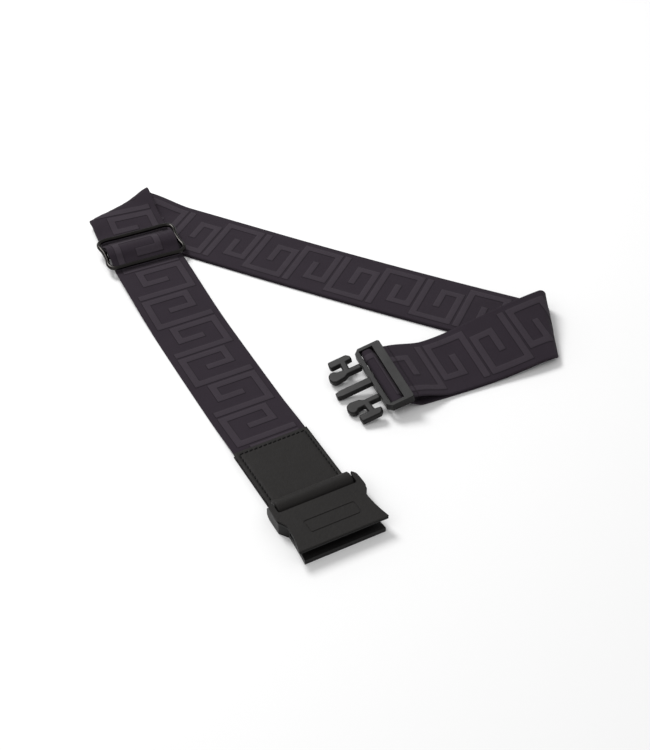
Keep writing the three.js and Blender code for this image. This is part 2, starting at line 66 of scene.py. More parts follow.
# ---------- dimensions of the band, as the CAD model has them ----------

WEB_WIDTH = 50
HALF_WIDTH = WEB_WIDTH / 2
WEB_THICKNESS = 1.3
GAP = 0.3
LAYER_OFFSET = (WEB_THICKNESS + GAP) / 2
FLOOR_HEIGHT = WEB_THICKNESS / 2
TAB_HEIGHT = 2
OVER_LONG_RUN = 3.85
DOUBLE_HEIGHT = 2 * LAYER_OFFSET - GAP / 2
CORNER_CREASE, CORNER_RADIUS = 15.3, 3.2
TURN_CREASE, TURN_RADIUS = 65, 5
BAR_Y, BAR_Z = 38.8, 6.2  # the socket's strap bar
FIRST_ARCS = [(16, 0), (180, -1.4), (124.5, -4.5)]  # length and turn in degrees
LONG_ARCS = [(107.9, -0.31), (213.5, 3.76)]
RETURN_ARCS = [(54, -4.6), (65, -1.7)]
BAND_START = 13.5
SLIDER_AT = 271.2
SLIDER_BEHIND, SLIDER_REACH = 30, 19.3  # from its centre bar to the ends of the pass through it
SLIDER_NEAR = SLIDER_AT - SLIDER_BEHIND
SLIDER_FAR = SLIDER_AT + SLIDER_REACH
SLIDER_HEIGHT = 7.85
SLIDER_TILT = 2.9
WIRE_RADIUS = 1.55
BUCKLE_HEIGHT, BUCKLE_NOSE_DOWN, BUCKLE_ROLL = 10.6, 13.5, 2

# ---------- the band's plan ----------


def unit(angle):
    """Plan directions at angles in degrees."""
    return np.stack([np.cos(np.radians(angle)), np.sin(np.radians(angle))], -1)


def smooth(t):
    t = np.clip(t, 0, 1)
    return t * t * (3 - 2 * t)


def eased(stops, s):
    """Values between listed (position, value) pairs, eased from one to the next."""
    value = np.full(np.shape(s), float(stops[0][1]))
    for (s0, v0), (s1, v1) in zip(stops, stops[1:]):
        value = value + (v1 - v0) * smooth((s - s0) / (s1 - s0))
    return value


def arc_point(at, facing, length, turn, s):
    half = np.radians(turn * s / length) / 2
    return at + unit(facing + np.degrees(half)) * (s * np.sinc(half / np.pi))[..., None]


class PlanPath:
    """A plan path of arcs; beyond its ends it runs straight on."""

    def __init__(self, start, heading, arcs):
        self.spans = []
        self.length = 0.0
        at = np.array(start, float)
        for length, turn in arcs:
            self.spans.append((self.length, at, heading, length, turn))
            at = arc_point(at, heading, length, turn, np.array(float(length)))
            heading += turn
            self.length += length
        self.end = at
        self.start_heading = self.spans[0][2]
        self.end_heading = heading

    def along(self, s):
        inside = np.clip(s, 0, self.length)
        points = np.zeros(np.shape(s) + (2,))
        headings = np.zeros(np.shape(s))
        for begin, at, facing, length, turn in self.spans:
            here = inside >= begin
            rest = inside - begin
            points = np.where(here[..., None], arc_point(at, facing, length, turn, rest), points)
            headings = np.where(here, facing + turn * rest / length, headings)
        return points + unit(headings) * (s - inside)[..., None], headings

    def beside(self, s, w, side=1):
        """Plan points w to the left of the path, or to its right where side is -1."""
        points, headings = self.along(s)
        return points + unit(headings + 90) * (w * side)[..., None]


class Fold:
    """The band's half turn about a crease line. Rise is 1 where it turns over itself and -1 under."""

    def __init__(self, path, crease, radius, rise):
        angle = math.radians(path.end_heading - crease)
        self.at = path.end
        self.outward = unit(crease + 90)
        if self.outward @ unit(path.end_heading) < 0:
            self.outward = -self.outward
        self.radius = radius
        self.rise = rise
        self.girth = math.pi * radius
        self.length = self.girth / abs(math.sin(angle))
        self.exit = path.end + unit(crease) * self.length * math.cos(angle)
        self.exit_heading = 2 * crease - path.end_heading

    def reach(self, plan):
        return (plan - self.at) @ self.outward

    def bend(self, plan):
        reach = self.reach(plan)
        angle = np.clip(reach, 0, self.girth) / self.radius
        lift = self.rise * self.radius * (1 - np.cos(angle))
        return plan + self.outward * (self.radius * np.sin(angle) - reach)[..., None], lift


first_path = PlanPath((0, BAR_Y), 90, FIRST_ARCS)
corner_fold = Fold(first_path, CORNER_CREASE, CORNER_RADIUS, -1)
long_path = PlanPath(corner_fold.exit, corner_fold.exit_heading, LONG_ARCS)
turn_fold = Fold(long_path, TURN_CREASE, TURN_RADIUS, 1)
return_path = PlanPath(turn_fold.exit, turn_fold.exit_heading, RETURN_ARCS)

# Distances along the band at which each stretch starts
LONG_START = first_path.length + corner_fold.length
RETURN_START = LONG_START + long_path.length + turn_fold.length
CORNER_HEIGHT = DOUBLE_HEIGHT + 2 * CORNER_RADIUS
TURN_HEIGHT = DOUBLE_HEIGHT + 2 * TURN_RADIUS


def crease_skew(crease, heading):
    return 1 / math.tan(math.radians(crease - heading))


def unskewed(u, w, skew_at):
    """The rung that a point of the band lies on, where rungs lean by skew_at(s)."""
    s = u
    for _ in range(8):
        s = u - skew_at(s) * w
    return s


# ---------- the prong half's and the slider's own frames ----------


def rotation(axis, degrees):
    return np.array(Matrix.Rotation(math.radians(degrees), 3, axis))


class Local:
    """A tilted frame on the band: local points to layout points."""

    def __init__(self, path, s, height, turn):
        plan, heading = path.along(np.array(float(s)))
        self.origin = np.array([plan[0], plan[1], height])
        self.turn = rotation("Z", float(heading)) @ turn

    def place(self, x, y, z):
        return np.stack(np.broadcast_arrays(x, y, z), -1) @ self.turn.T + self.origin


prong_turn = rotation("Y", BUCKLE_NOSE_DOWN) @ rotation("X", -BUCKLE_ROLL)
prong_frame = Local(return_path, return_path.length, BUCKLE_HEIGHT, prong_turn)
# The slider's own X runs across the band
slider_frame = Local(first_path, SLIDER_AT, SLIDER_HEIGHT, rotation("Z", -90) @ rotation("X", SLIDER_TILT))

# ---------- the band's surface ----------


def catmull_rom(points, steps, closed=False):
    """A centripetal Catmull-Rom curve through points, with steps pieces between each pair."""
    p = np.array(points, float)
    if closed:
        p = np.vstack([p[-1], p, p[0], p[1]])
    else:
        p = np.vstack([2 * p[0] - p[1], p, 2 * p[-1] - p[-2]])
    rows = []
    for a, b, c, d in zip(p, p[1:], p[2:], p[3:]):
        t0 = 0.0
        t1 = t0 + math.sqrt(np.linalg.norm(b - a))
        t2 = t1 + math.sqrt(np.linalg.norm(c - b))
        t3 = t2 + math.sqrt(np.linalg.norm(d - c))
        t = np.linspace(t1, t2, steps, endpoint=False)[:, None]
        ab = (t1 - t) / (t1 - t0) * a + (t - t0) / (t1 - t0) * b
        bc = (t2 - t) / (t2 - t1) * b + (t - t1) / (t2 - t1) * c
        cd = (t3 - t) / (t3 - t2) * c + (t - t2) / (t3 - t2) * d
        abc = (t2 - t) / (t2 - t0) * ab + (t - t0) / (t2 - t0) * bc
        bcd = (t3 - t) / (t3 - t1) * bc + (t - t1) / (t3 - t1) * cd
        rows.append((t2 - t) / (t2 - t1) * abc + (t - t1) / (t2 - t1) * bcd)
    if not closed:
        rows.append(p[-2][None])
    return np.vstack(rows)


TAB_DROP_FROM, TAB_DROP_TO, SLIDER_RISE = 60, 92, 170  # where the first run comes down and rises again
FIRST_HEIGHTS = [
    (TAB_DROP_FROM, TAB_HEIGHT), (TAB_DROP_TO, FLOOR_HEIGHT), (SLIDER_RISE, FLOOR_HEIGHT),
    (SLIDER_NEAR, OVER_LONG_RUN),
]
PASS_CREST = SLIDER_HEIGHT + WIRE_RADIUS + 2 * GAP + 1.5 * WEB_THICKNESS
PASS_PROFILE = catmull_rom(
    [(-SLIDER_BEHIND, OVER_LONG_RUN), (-22, OVER_LONG_RUN), (-15, 3.9), (-8.6, 7), (-4, 10.8),
     (0, PASS_CREST), (4, 11), (8.6, 8.3), (13, 5.8), (SLIDER_REACH, 5.45)],
    12,
)
NOSE = math.radians(BUCKLE_NOSE_DOWN)
LOOP_END = -12.6  # where the band leaves the prong half, in its own frame
LOOP_MIDDLE = -4.2
LOOP_SLOPE = math.radians(19)  # of the loop's ends, down and back from the rear bar
end_point = prong_frame.place(LOOP_END, 0, LOOP_MIDDLE)
END_REACH = LOOP_END * math.cos(NOSE) + LOOP_MIDDLE * math.sin(NOSE)
BAND_END = RETURN_START + return_path.length + END_REACH
TURN_ROLL = 14
RETURN_BLEND = 60  # over which the rungs turn from the fold line to square
RETURN_HEIGHTS = [(0, TURN_HEIGHT), (80, 3.6)]
RETURN_ROLLS = [(0, TURN_ROLL), (14, TURN_ROLL), (84, 4), (return_path.length + END_REACH, BUCKLE_ROLL)]

# The far end of the corner fold springs up, and the long run's far edge with it
SPRING_RISE, SPRING_ALONG, SPRING_ACROSS = 4, 34, 18
corner_angle = math.radians(CORNER_CREASE - first_path.end_heading)
corner_tip_at = first_path.length - HALF_WIDTH / math.tan(corner_angle)
corner_tip = first_path.beside(np.array(corner_tip_at), np.array(-HALF_WIDTH))


def spring(plan):
    """How far the band is lifted about the corner's far tip."""
    ahead = unit(long_path.start_heading)
    beside = unit(long_path.start_heading + 90)
    away = plan - corner_tip
    return SPRING_RISE * smooth(1 - np.hypot(away @ ahead / SPRING_ALONG, away @ beside / SPRING_ACROSS))


def single_height(s):
    """Height of the single layer from the tab to the far side of the slider."""
    over = np.interp(s - SLIDER_AT, PASS_PROFILE[:, 0], PASS_PROFILE[:, 1])
    return np.where(s < SLIDER_NEAR, eased(FIRST_HEIGHTS, s), over)


def approach_height(u, w):
    """Height of the doubled band from the slider up to the corner."""
    skew = crease_skew(CORNER_CREASE, first_path.end_heading)
    run = first_path.length - SLIDER_FAR
    s = unskewed(u, w, lambda s: skew * smooth((s - SLIDER_FAR) / run))
    low = OVER_LONG_RUN + LAYER_OFFSET
    return low + (CORNER_HEIGHT - low) * smooth((s - SLIDER_FAR) / run)


def return_height(u, w):
    """Height of the doubled band from the turn to the prong half, where it takes the buckle's slope."""
    skew = crease_skew(TURN_CREASE, return_path.start_heading)
    s = unskewed(u, w, lambda s: skew * smooth(1 - s / RETURN_BLEND))
    last = return_path.length + END_REACH
    span = last - RETURN_HEIGHTS[-1][0]
    t = np.clip((s - RETURN_HEIGHTS[-1][0]) / span, 0, 1)
    rise = (end_point[2] - RETURN_HEIGHTS[-1][1]) * smooth(t)
    slope = math.tan(NOSE - LOOP_SLOPE) * span * t * t * (1 - t)
    return eased(RETURN_HEIGHTS, s) + rise + slope - w * np.tan(np.radians(eased(RETURN_ROLLS, s)))


def doubled_surface(u, w):
    """The middle of the doubled band, from the slider to the prong half."""
    first = first_path.beside(u, w)
    corner_plan, corner_lift = corner_fold.bend(first)
    s_long = u - LONG_START
    long = long_path.beside(s_long, w, -1)
    turn_plan, turn_lift = turn_fold.bend(long)
    back = return_path.beside(u - RETURN_START, w)
    fullness = 1 - w * math.tan(math.radians(TURN_ROLL)) / (2 * TURN_RADIUS)
    corner_reach, turn_reach = corner_fold.reach(first), turn_fold.reach(long)
    corner_height = CORNER_HEIGHT + corner_lift + spring(corner_plan)
    stages = [
        (corner_reach < 0, first, approach_height(u, w) + spring(first)),
        (corner_reach < corner_fold.girth, corner_plan, corner_height),
        (turn_reach < 0, long, DOUBLE_HEIGHT + spring(long)),
        (turn_reach < turn_fold.girth, turn_plan, DOUBLE_HEIGHT + turn_lift * fullness),
    ]
    plan, height = back, return_height(u - RETURN_START, w)
    for here, stage_plan, stage_height in reversed(stages):
        plan = np.where(here[..., None], stage_plan, plan)
        height = np.where(here, stage_height, height)
    return np.concatenate([plan, height[..., None]], -1)


def outer_surface(u, w):
    """The outer layer: single up to the slider, then the outside of the doubled band."""
    single = np.concatenate([first_path.beside(u, w), single_height(u)[..., None]], -1)
    doubled = doubled_surface(u, w)
    doubled[..., 2] += LAYER_OFFSET - outer_offset(u)
    return np.where((u < SLIDER_FAR)[..., None], single, doubled)


OFFSET_BLEND = 10  # past the slider, over which the outer layer moves off the band's middle


def outer_offset(u):
    return LAYER_OFFSET * smooth((u - SLIDER_FAR) / OFFSET_BLEND)


LEG_LENGTH = 13  # of the inner layer past the rear bar, under the prong half's centre bar
LEG_RISE, LEG_RISE_LENGTH = 1.4, 4
# The slack end's droop starts and fades at these distances from the leg's end, over these lengths
DROOP_FROM, DROOP_GROWS, DROOP_TO, DROOP_FADES = 1, 17, 30, 40
DROOP_CLEARANCE = 0.1  # kept above the surface


def inner_surface(u, w):
    """The inner layer, whose slack end droops to the surface behind the prong half on its near side."""
    points = doubled_surface(np.minimum(u, BAND_END), w)
    past = np.maximum(u - BAND_END, 0)
    leg = prong_frame.place(LOOP_END + past, w, LOOP_MIDDLE + LEG_RISE * smooth(past / LEG_RISE_LENGTH))
    points = np.where((u > BAND_END)[..., None], leg, points)
    behind = BAND_END + LEG_LENGTH - u
    slack = smooth((behind - DROOP_FROM) / DROOP_GROWS) * (1 - smooth((behind - DROOP_TO) / DROOP_FADES))
    near = smooth((w + HALF_WIDTH) / WEB_WIDTH)
    floor = FLOOR_HEIGHT + LAYER_OFFSET + DROOP_CLEARANCE
    drop = np.maximum(points[..., 2] - floor, 0) * slack * near
    points[..., 2] -= drop
    return points


def inner_offset(u):
    return np.full(np.shape(u), -LAYER_OFFSET)


# ---------- the woven pattern ----------

BAR_WIDTH = 5
PITCH_ALONG, PITCH_ACROSS = 6.3, 7.3
FRET_ROWS, FRET_COLUMNS = 5, 10
FRET_PERIOD = PITCH_ALONG * FRET_COLUMNS
FLANK = 0.26  # half of a raised bar's sloping side
RELIEF_HIGH, RELIEF_LOW = 0.16, -0.1
HOOK = [(0, 0), (0, 5), (4, 5), (4, 1), (2, 1), (2, 3)]
FRET = [HOOK, [(i + 5, FRET_ROWS - j) for i, j in HOOK]]


def fret(u, w):
    """1 on the fret's raised bars and 0 between them."""
    u = (np.asarray(u) + BAR_WIDTH / 2 + FLANK) % FRET_PERIOD - BAR_WIDTH / 2 - FLANK
    v = np.asarray(w) + FRET_ROWS * PITCH_ACROSS / 2
    raised = np.zeros(np.broadcast(u, v).shape, bool)
    half = BAR_WIDTH / 2
    for line in FRET:
        for (i0, j0), (i1, j1) in zip(line, line[1:]):
            u0, u1 = sorted((i0 * PITCH_ALONG, i1 * PITCH_ALONG))
            v0, v1 = sorted((j0 * PITCH_ACROSS, j1 * PITCH_ACROSS))
            raised |= (u > u0 - half) & (u < u1 + half) & (v > v0 - half) & (v < v1 + half)
    return raised.astype(float)


def bar_lines(first, last, pitch, origin):
    """Lattice lines that hug both sides of each bar edge from first to last."""
    lines = []
    for i in range(math.floor((first - origin) / pitch) - 1, math.ceil((last - origin) / pitch) + 2):
        for edge in (-BAR_WIDTH / 2, BAR_WIDTH / 2):
            lines += [origin + i * pitch + edge - FLANK, origin + i * pitch + edge + FLANK]
    return [x for x in lines if first < x < last]


def filled(lines, spacing):
    """Sorted lines with more put between them, so that none are further apart than spacing there."""
    lines = sorted(set(lines))
    result = [lines[0]]
    for a, b in zip(lines, lines[1:]):
        pieces = max(1, math.ceil((b - a) / spacing((a + b) / 2)))
        result += [a + (b - a) * k / pieces for k in range(1, pieces + 1)]
    return np.array(result)


EDGE_ROUND = [(0, 0.3), (0.12, 0.72), (0.4, 1)]  # distance from the band's edge, share of its thickness
EDGE_PLAIN = 1  # at the band's edges, without lines for the pattern
ACROSS_SPACING = 1.5
edge_lines = [side * (HALF_WIDTH - inset) for inset, _ in EDGE_ROUND for side in (-1, 1)]
fret_lines = bar_lines(
    -HALF_WIDTH + EDGE_PLAIN, HALF_WIDTH - EDGE_PLAIN, PITCH_ACROSS, -FRET_ROWS * PITCH_ACROSS / 2
)
W_LINES = filled(edge_lines + fret_lines, lambda w: ACROSS_SPACING)


def edge_share(w):
    """How much of its thickness the band has at w, less at its rounded edges."""
    inset, share = zip(*EDGE_ROUND)
    return np.interp(HALF_WIDTH - np.abs(w), inset, share)


# ---------- meshes ----------


def mesh_object(name, points, faces, material, flat_faces=()):
    """A smooth-shaded object from layout points and faces; the listed faces stay flat."""
    mesh = bpy.data.meshes.new(name)
    mesh.from_pydata(to_frame(points).tolist(), [], faces)
    shade = np.ones(len(mesh.polygons), bool)
    shade[list(flat_faces)] = False
    mesh.polygons.foreach_set("use_smooth", shade)
    mesh.materials.append(material)
    mesh.update()
    made = bpy.data.objects.new(name, mesh)
    bpy.context.scene.collection.objects.link(made)
    return made


def sheet_object(name, high, low, material, u, w, relief=None):
    """The closed solid between two lattices of points, with its own distances as UVs."""
    rows, columns = high.shape[:2]
    loop = 2 * columns
    ring = np.concatenate([high, low[:, ::-1]], 1)
    k = np.arange(loop)
    start = np.arange(rows - 1)[:, None] * loop
    a, b = start + k, start + (k + 1) % loop
    faces = np.stack([a, b, b + loop, a + loop], -1).reshape(-1, 4)
    j = np.arange(columns - 1)
    cap = np.stack([j, loop - 1 - j, loop - 2 - j, j + 1], -1)
    far = (rows - 1) * loop + cap[:, ::-1]
    faces = np.concatenate([faces, cap, far])
    flat = range(len(faces) - 2 * len(cap), len(faces))
    made = mesh_object(name, ring.reshape(-1, 3), faces.tolist(), material, flat)
    mesh = made.data
    uu = np.repeat(np.asarray(u)[:, None], loop, 1).ravel()
    ww = np.tile(np.concatenate([w, w[::-1]]), rows)
    corners = np.zeros(len(mesh.loops), int)
    mesh.loops.foreach_get("vertex_index", corners)
    uv = mesh.uv_layers.new(name="weave")
    uv.data.foreach_set("uv", (np.stack([uu, ww], -1)[corners] * MM).ravel().astype(np.float32))
    if relief is not None:
        values = np.concatenate([relief[0], relief[1][:, ::-1]], 1).ravel()
        mesh.attributes.new("relief", "FLOAT", "POINT").data.foreach_set("value", values.astype(np.float32))
    return made


def band_object(name, surface, u_lines, offset, faces, material):
    """A stretch of webbing. Faces says which of its two sides show the woven relief, high and low."""
    u, w = np.meshgrid(u_lines, W_LINES, indexing="ij")
    step = 0.25
    points = surface(u, w)
    run = surface(u + step, w) - surface(u - step, w)
    across = surface(u, w + step) - surface(u, w - step)
    normal = np.cross(run, across)
    normal /= np.linalg.norm(normal, axis=-1, keepdims=True)
    raised = fret(u, w)
    share = edge_share(w)
    relief = (RELIEF_LOW + (RELIEF_HIGH - RELIEF_LOW) * raised) * (share == 1)
    half = WEB_THICKNESS / 2 * share
    middle = points + normal * offset(u)[..., None]
    high = middle + normal * (half + relief * faces[0])[..., None]
    low = middle - normal * (half + relief * faces[1])[..., None]
    for side in (high, low):
        side[..., 2] = np.maximum(side[..., 2], 0)
    return sheet_object(name, high, low, material, u_lines, W_LINES, (raised, raised))


FOLD_BENDS = [(first_path.length + 5.5, 22), (LONG_START + long_path.length + 6.5, 24)]  # middle and reach
SLIDER_BEND_REACH = 25
FINE_SPACING, SLIDER_SPACING, PLAIN_SPACING = 0.7, 0.9, 1.6


def u_lines(first, last):
    """Lattice lines across the band, closer where it bends tightly."""

    def spacing(u):
        if any(abs(u - middle) < reach for middle, reach in FOLD_BENDS) or u > BAND_END:
            return FINE_SPACING
        return SLIDER_SPACING if abs(u - SLIDER_AT) < SLIDER_BEND_REACH else PLAIN_SPACING

    return filled([first, last, *bar_lines(first, last, PITCH_ALONG, 0)], spacing)


# ---------- materials ----------

WEB_GROUND, WEB_BARS = (0.0248, 0.019, 0.0256), (0.0372, 0.0296, 0.038)
LEATHER_DARK, LEATHER_PALE = (0.0112, 0.0103, 0.0097), (0.0158, 0.0146, 0.0139)
# The plastic's pale colour is a painted highlight on its convex edges
PLASTIC_DARK, PLASTIC_EDGE_HIGHLIGHT = (0.007, 0.0066, 0.0066), (0.019, 0.018, 0.018)
WIRE_DARK, WIRE_PALE = (0.022, 0.0205, 0.0195), (0.034, 0.032, 0.0305)
THREAD_DARK, THREAD_PALE = (0.0015, 0.0015, 0.0015), (0.005, 0.0048, 0.0048)
YARN_PITCH, TWILL_PITCH = 0.0007, 0.0011  # metres
GROOVE_SHADE = 2.8
EDGE_HIGHLIGHT_FROM, EDGE_HIGHLIGHT_TO = 0.52, 0.6  # pointiness of an edge, over which the painted edge highlight comes in


class Nodes:
    """A material's node tree, with short calls to add and join nodes."""

    def __init__(self, name, **sockets):
        self.material = bpy.data.materials.new(name)
        self.material.use_nodes = True
        self.tree = self.material.node_tree
        self.shader = self.tree.nodes["Principled BSDF"]
        for socket, value in sockets.items():
            self.shader.inputs[socket.replace("_", " ")].default_value = value

    def add(self, kind, values=(), **settings):
        node = self.tree.nodes.new("ShaderNode" + kind)
        for key, value in settings.items():
            setattr(node, key, value)
        for socket, value in dict(values).items():
            self.put(node.inputs[socket], value)
        return node

    def put(self, socket, value):
        if isinstance(value, bpy.types.NodeSocket):
            self.tree.links.new(value, socket)
        else:
            socket.default_value = value

    def math(self, operation, a, b=0.0):
        return self.add("Math", {0: a, 1: b}, operation=operation).outputs[0]

    def noise(self, where, scale, detail=3.0):
        return self.add("TexNoise", {"Vector": where, "Scale": scale, "Detail": detail}).outputs["Fac"]

    def span(self, value, low, high):
        """A 0 to 1 value spread from low to high."""
        return self.add("MapRange", {"Value": value, "To Min": low, "To Max": high}).outputs["Result"]

    def mix(self, factor, a, b):
        """A blend of two colours, given as red, green and blue."""
        return self.add("MixRGB", {"Fac": factor, "Color1": (*a, 1), "Color2": (*b, 1)}).outputs["Color"]

    def stretched(self, where, by):
        return self.add("VectorMath", {0: where, 1: by}, operation="MULTIPLY").outputs[0]

    def paint(self, colour, roughness):
        self.put(self.shader.inputs["Base Color"], colour)
        self.put(self.shader.inputs["Roughness"], roughness)

    def bump(self, height, distance, strength=1.0):
        bump = self.add("Bump", {"Height": height, "Distance": distance, "Strength": strength})
        self.tree.links.new(bump.outputs["Normal"], self.shader.inputs["Normal"])

    def place(self):
        """Positions in the object, in metres."""
        return self.add("TexCoord").outputs["Object"]


def webbing_material():
    """Charcoal jacquard: a fine plain weave, with satin bars a shade lighter."""
    n = Nodes("webbing", Sheen_Weight=0.03, Sheen_Roughness=0.5, Specular_IOR_Level=0.09)
    cloth = n.add("UVMap", uv_map="weave").outputs["UV"]
    parts = n.add("SeparateXYZ", {"Vector": cloth})
    waves = []
    for axis, shift in (("X", 0.0), ("Y", 0.5)):
        turns = n.math("ADD", n.math("DIVIDE", parts.outputs[axis], YARN_PITCH), shift)
        waves.append(n.math("SINE", n.math("MULTIPLY", turns, 2 * math.pi)))
    weave = n.math("MULTIPLY", waves[0], waves[1])
    diagonal = n.math("ADD", parts.outputs["X"], parts.outputs["Y"])
    twill = n.math("SINE", n.math("MULTIPLY", diagonal, 2 * math.pi / TWILL_PITCH))
    bars = n.add("Attribute", attribute_name="relief").outputs["Fac"]
    fibres = n.noise(n.stretched(cloth, (1, 5, 1)), 900)
    cloud = n.noise(cloth, 60)
    colour = n.mix(bars, WEB_GROUND, WEB_BARS)
    # Painted shade: the flanks of the raised bars, where bars lies between 0 and 1, are darkened in the
    # colour
    groove_shade_mask = n.math("MULTIPLY", bars, n.math("SUBTRACT", 1.0, bars))
    shade = n.math("MULTIPLY", n.span(fibres, 0.8, 1.2), n.span(cloud, 0.88, 1.12))
    shade = n.math("MULTIPLY", shade, n.math("SUBTRACT", 1.0, n.math("MULTIPLY", groove_shade_mask, GROOVE_SHADE)))
    tone = n.add("VectorMath", {0: colour, "Scale": shade}, operation="SCALE").outputs[0]
    n.paint(tone, n.span(bars, 0.92, 0.78))
    ridges = n.math("MULTIPLY", n.math("MULTIPLY", twill, bars), 0.35)
    surface = n.math("ADD", n.math("MULTIPLY", weave, 0.5), ridges)
    n.bump(n.math("ADD", surface, n.math("MULTIPLY", fibres, 0.7)), 0.00012)
    return n.material


def leather_material():
    """Near-black full-grain leather with a fine pebble."""
    n = Nodes("leather", Specular_IOR_Level=0.14)
    where = n.place()
    pebble = n.add("TexVoronoi", {"Vector": where, "Scale": 1500.0}, feature="SMOOTH_F1").outputs["Distance"]
    creases = n.noise(where, 420, 6)
    cloud = n.noise(where, 45)
    n.paint(n.mix(cloud, LEATHER_DARK, LEATHER_PALE), n.span(creases, 0.5, 0.72))
    n.bump(n.math("ADD", n.math("MULTIPLY", pebble, 0.8), n.math("MULTIPLY", creases, 0.9)), 0.00013)
    return n.material


def plastic_material():
    """Black moulded acetal with a fine spark-eroded texture; its edges are painted paler as a highlight."""
    n = Nodes("plastic", Specular_IOR_Level=0.16)
    where = n.place()
    grain = n.noise(where, 2600, 2)
    cloud = n.noise(where, 90)
    # Painted highlight: convex edges, found by pointiness, are painted paler, broken up at random by the
    # cloud
    edge = n.add("NewGeometry").outputs["Pointiness"]
    edge_highlight = n.add("MapRange", {"Value": edge, "From Min": EDGE_HIGHLIGHT_FROM, "From Max": EDGE_HIGHLIGHT_TO}).outputs["Result"]
    colour = n.mix(n.math("MULTIPLY", edge_highlight, cloud), PLASTIC_DARK, PLASTIC_EDGE_HIGHLIGHT)
    n.paint(colour, n.span(cloud, 0.36, 0.5))
    n.bump(grain, 0.00003)
    return n.material


def gunmetal_material():
    """Dark plated wire, lightly drawn and rubbed."""
    n = Nodes("gunmetal", Metallic=1.0)
    where = n.place()
    cloud = n.noise(where, 150)
    scratches = n.noise(n.stretched(where, (1, 9, 9)), 700, 4)
    n.paint(n.mix(cloud, WIRE_DARK, WIRE_PALE), n.span(scratches, 0.14, 0.24))
    n.bump(scratches, 0.000004)
    return n.material


def thread_material():
    """Bonded black sewing thread with its twist."""
    n = Nodes("thread", Specular_IOR_Level=0.15)
    where = n.place()
    twist = n.noise(where, 3500, 2)
    n.paint(n.mix(twist, THREAD_DARK, THREAD_PALE), n.span(twist, 0.6, 0.85))
    n.bump(twist, 0.00008)
    return n.material


webbing = webbing_material()
leather = leather_material()
plastic = plastic_material()
gunmetal = gunmetal_material()
thread = thread_material()

# ---------- webbing ----------

SPLIT = RETURN_START + 70  # where the band's end pieces, toward the prong half, start


def rides(made, body, slot, *nodes):
    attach(made, body)
    if nodes:
        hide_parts(*nodes)
    return made


def make_band():
    outer = band_object(
        "webbing_band_outer", outer_surface, u_lines(BAND_START, SPLIT), outer_offset, (1, 0), webbing
    )
    rides(
        outer, "strap", "webbing", "webbing_first_run", "webbing_slider_pass", "webbing_corner_outer",
        "webbing_long_run_outer", "webbing_turn_outer",
    )
    inner = band_object(
        "webbing_band_inner", inner_surface, u_lines(SLIDER_FAR, SPLIT), inner_offset, (0, 1), webbing
    )
    rides(inner, "strap", "webbing", "webbing_corner_inner", "webbing_long_run_inner", "webbing_turn_inner")


def blended(made, start_behind, end_behind, *nodes):
    """Bakes its place into its mesh and hides the CAD parts it stands in for; the two distances behind the
    prong half's centre bar give points that nothing uses.
    """
    start = to_frame(prong_frame.place(-start_behind, 0, LOOP_MIDDLE))
    end = to_frame(prong_frame.place(-end_behind, 0, LOOP_MIDDLE))
    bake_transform(made)
    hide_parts(*nodes)


def make_band_ends():
    outer = band_object(
        "webbing_end_outer", outer_surface, u_lines(SPLIT, BAND_END), outer_offset, (1, 0), webbing
    )
    blended(outer, 32, -LOOP_END, "webbing_return_run_outer")
    last = BAND_END + LEG_LENGTH
    inner = band_object(
        "webbing_end_inner", inner_surface, u_lines(SPLIT, last), inner_offset, (0, 1), webbing
    )
    blended(inner, 14, 0, "webbing_return_run_inner")


BUCKLE_LOOP = [
    (LOOP_END, -3.4), (-8.6, -1.98), (-4.2, -1.96), (-2.2, -1.3), (-1.5, 0.4), (-0.2, 1.3), (1.5, 1.45),
    (3.6, 1.2), (4.6, 0), (4.7, -1.6), (3.6, -3.1), (0.4, -3.6),
]
LOOP_SPACING, SEWN_SPACING = 0.5, 0.6
LOOP_RADIUS = WIRE_RADIUS + GAP + WEB_THICKNESS / 2
SLIDER_LOOP = [
    (19, OVER_LONG_RUN), (13, 3.95), (7, 4.4), (3, 5.15),
    *[(LOOP_RADIUS * math.cos(a), SLIDER_HEIGHT + LOOP_RADIUS * math.sin(a))
      for a in np.radians(range(-90, -271, -30))],
    (2.7, 9.6), (5, 8.1), (7, 6.8), (9, 6),
]


def profile_surface(profile, start, place):
    """A band surface that follows a side profile, given as points (x, z), from a distance start."""
    curve = catmull_rom(profile, 10)
    walked = start + np.concatenate([[0], np.cumsum(np.linalg.norm(np.diff(curve, axis=0), axis=1))])

    def surface(u, w):
        x, z = (np.interp(u, walked, curve[:, i]) for i in (0, 1))
        before = np.minimum(u - walked[0], 0) + np.maximum(u - walked[-1], 0)
        return place(x + before * np.sign(curve[1, 0] - curve[0, 0]), w, z)

    return surface, walked[-1]


def no_offset(u):
    return 0 * u


def make_loops():
    surface, last = profile_surface(BUCKLE_LOOP, BAND_END, prong_frame.place)
    stations = filled([BAND_END, last, *bar_lines(BAND_END, last, PITCH_ALONG, 0)], lambda u: LOOP_SPACING)
    loop = band_object("webbing_buckle_loop_cloth", surface, stations, no_offset, (1, 0), webbing)
    rides(loop, "prongs", "webbing", "webbing_buckle_loop")

    def on_first(x, w, z):
        plan = first_path.beside(SLIDER_AT + x, w)
        return np.concatenate([plan, z[..., None]], -1)

    surface, last = profile_surface(SLIDER_LOOP, 0, on_first)
    stations = filled([GAP, last], lambda u: SEWN_SPACING)
    sewn = band_object("webbing_slider_loop_cloth", surface, stations, no_offset, (0, 0), webbing)
    rides(sewn, "strap", "webbing", "webbing_slider_loop")


make_band()
make_band_ends()
make_loops()

# ---------- leather tab ----------

